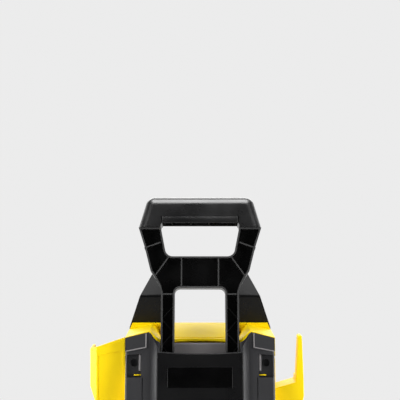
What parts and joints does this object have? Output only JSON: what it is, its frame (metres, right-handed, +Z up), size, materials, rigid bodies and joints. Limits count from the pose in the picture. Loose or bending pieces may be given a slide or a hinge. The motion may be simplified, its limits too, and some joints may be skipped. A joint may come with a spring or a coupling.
{
  "type": "pressure washer",
  "caption": "Upright wheeled electric pressure washer with a telescopic handle, gun holster, hose hook, power knob, water inlet and high-pressure outlet.",
  "frame": {"origin": "on the floor, under the centre of the whole machine's box", "axes": "+Z up, the front with the power knob faces -Y, +X to the machine's right as seen from the front"},
  "size_m": [0.28, 0.297, 0.678],
  "materials": {
    "yellow_plastic": "satin moulded yellow",
    "black_plastic": "finely grained black",
    "handle_plastic": "satin black",
    "grey_plastic": "finely grained dark grey",
    "throat_plastic": "finely grained mid grey",
    "panel_plastic": "satin near-black",
    "badge_finish": "blank glossy plate",
    "mark_finish": "raised pale marks",
    "knob_plastic": "satin black",
    "inner_plastic": "plain",
    "tyre": "matte",
    "rubber": "matte",
    "steel": "zinc plated",
    "brass": "turned",
    "aluminium": "die cast",
    "copper": "enamelled copper",
    "laminations": "stacked sheet",
    "carbon": "pressed carbon"
  },
  "bodies": {
    "housing": {"left_side_panel": "yellow_plastic", "right_side_panel": "yellow_plastic", "top_hood": "yellow_plastic", "gun_holster": "yellow_plastic", "hose_hook": "yellow_plastic", "base_tray": "black_plastic", "carry_handle": "black_plastic", "carry_handle_back": "black_plastic", "rear_shell": "black_plastic", "outlet_collar": "black_plastic", "knob_bezel": "black_plastic", "cable_gland": "black_plastic", "water_inlet": "black_plastic", "axle_spacers": "black_plastic", "front_cover": "grey_plastic", "throat_plate": "throat_plastic", "centre_panel": "panel_plastic", "badge_plate": "badge_finish", "leg_guides": "inner_plastic", "switch_module": "inner_plastic", "pump_cradle": "inner_plastic", "inlet_strainer": "inner_plastic", "front_feet": "rubber", "rubber_mounts": "rubber", "piston_seals": "rubber", "axle": "steel", "axle_clips": "steel", "outlet_tube": "steel", "motor_bearings": "steel", "pistons": "steel", "piston_springs": "steel", "rear_screws": "steel", "pressure_outlet": "brass", "unloader_valve": "brass", "gear_housing": "aluminium", "motor_end_shield": "aluminium", "pump_head": "aluminium", "piston_block": "aluminium", "motor_case": "aluminium", "field_windings": "copper", "stator_core": "laminations", "carbon_brushes": "carbon"},
    "handle": {"handle_frame": "handle_plastic", "grip_shell": "handle_plastic", "leg_end_caps": "handle_plastic"},
    "left_wheel": {"left_wheel_rim": "black_plastic", "left_wheel_tyre": "tyre", "left_wheel_hub_cap": "black_plastic"},
    "right_wheel": {"right_wheel_rim": "black_plastic", "right_wheel_tyre": "tyre", "right_wheel_hub_cap": "black_plastic"},
    "power_knob": {"power_knob": "knob_plastic"},
    "rotor": {"motor_shaft": "steel", "rotor_core": "laminations", "commutator": "copper", "cooling_fan": "inner_plastic", "pinion": "steel"},
    "swash": {"drive_gear": "steel", "wobble_plate": "inner_plastic"},
    "cable_hook": {"cable_hook": "black_plastic"}
  },
  "joints": [
    {"name": "handle_slide", "type": "slide", "parent": "housing", "child": "handle", "axis": [0, 0.2164, 0.9763], "range_m": [0, 0.24]},
    {"name": "left_wheel_spin", "type": "hinge", "parent": "housing", "child": "left_wheel", "pos_m": [-0.1215, 0.0785, 0.07], "axis": [1, 0, 0], "continuous": true},
    {"name": "right_wheel_spin", "type": "hinge", "parent": "housing", "child": "right_wheel", "pos_m": [0.1215, 0.0785, 0.07], "axis": [1, 0, 0], "continuous": true},
    {"name": "power_knob_turn", "type": "hinge", "parent": "housing", "child": "power_knob", "pos_m": [0, -0.05805, 0.23431], "axis": [0, 0.9763, -0.2164], "range_deg": [0, 90]},
    {"name": "rotor_spin", "type": "hinge", "parent": "housing", "child": "rotor", "pos_m": [0.015, 0.042, 0.34], "axis": [0, 0, 1], "continuous": true},
    {"name": "swash_spin", "type": "hinge", "parent": "housing", "child": "swash", "pos_m": [-0.015, 0.042, 0.26], "axis": [0, 0, 1], "continuous": true},
    {"name": "cable_hook_turn", "type": "hinge", "parent": "housing", "child": "cable_hook", "pos_m": [0, 0.105, 0.43], "axis": [0, 1, 0], "range_deg": [0, 180]}
  ],
  "couplings": [
    {"joint": "swash_spin", "follows": "rotor_spin", "ratio": -0.33333}
  ]
}
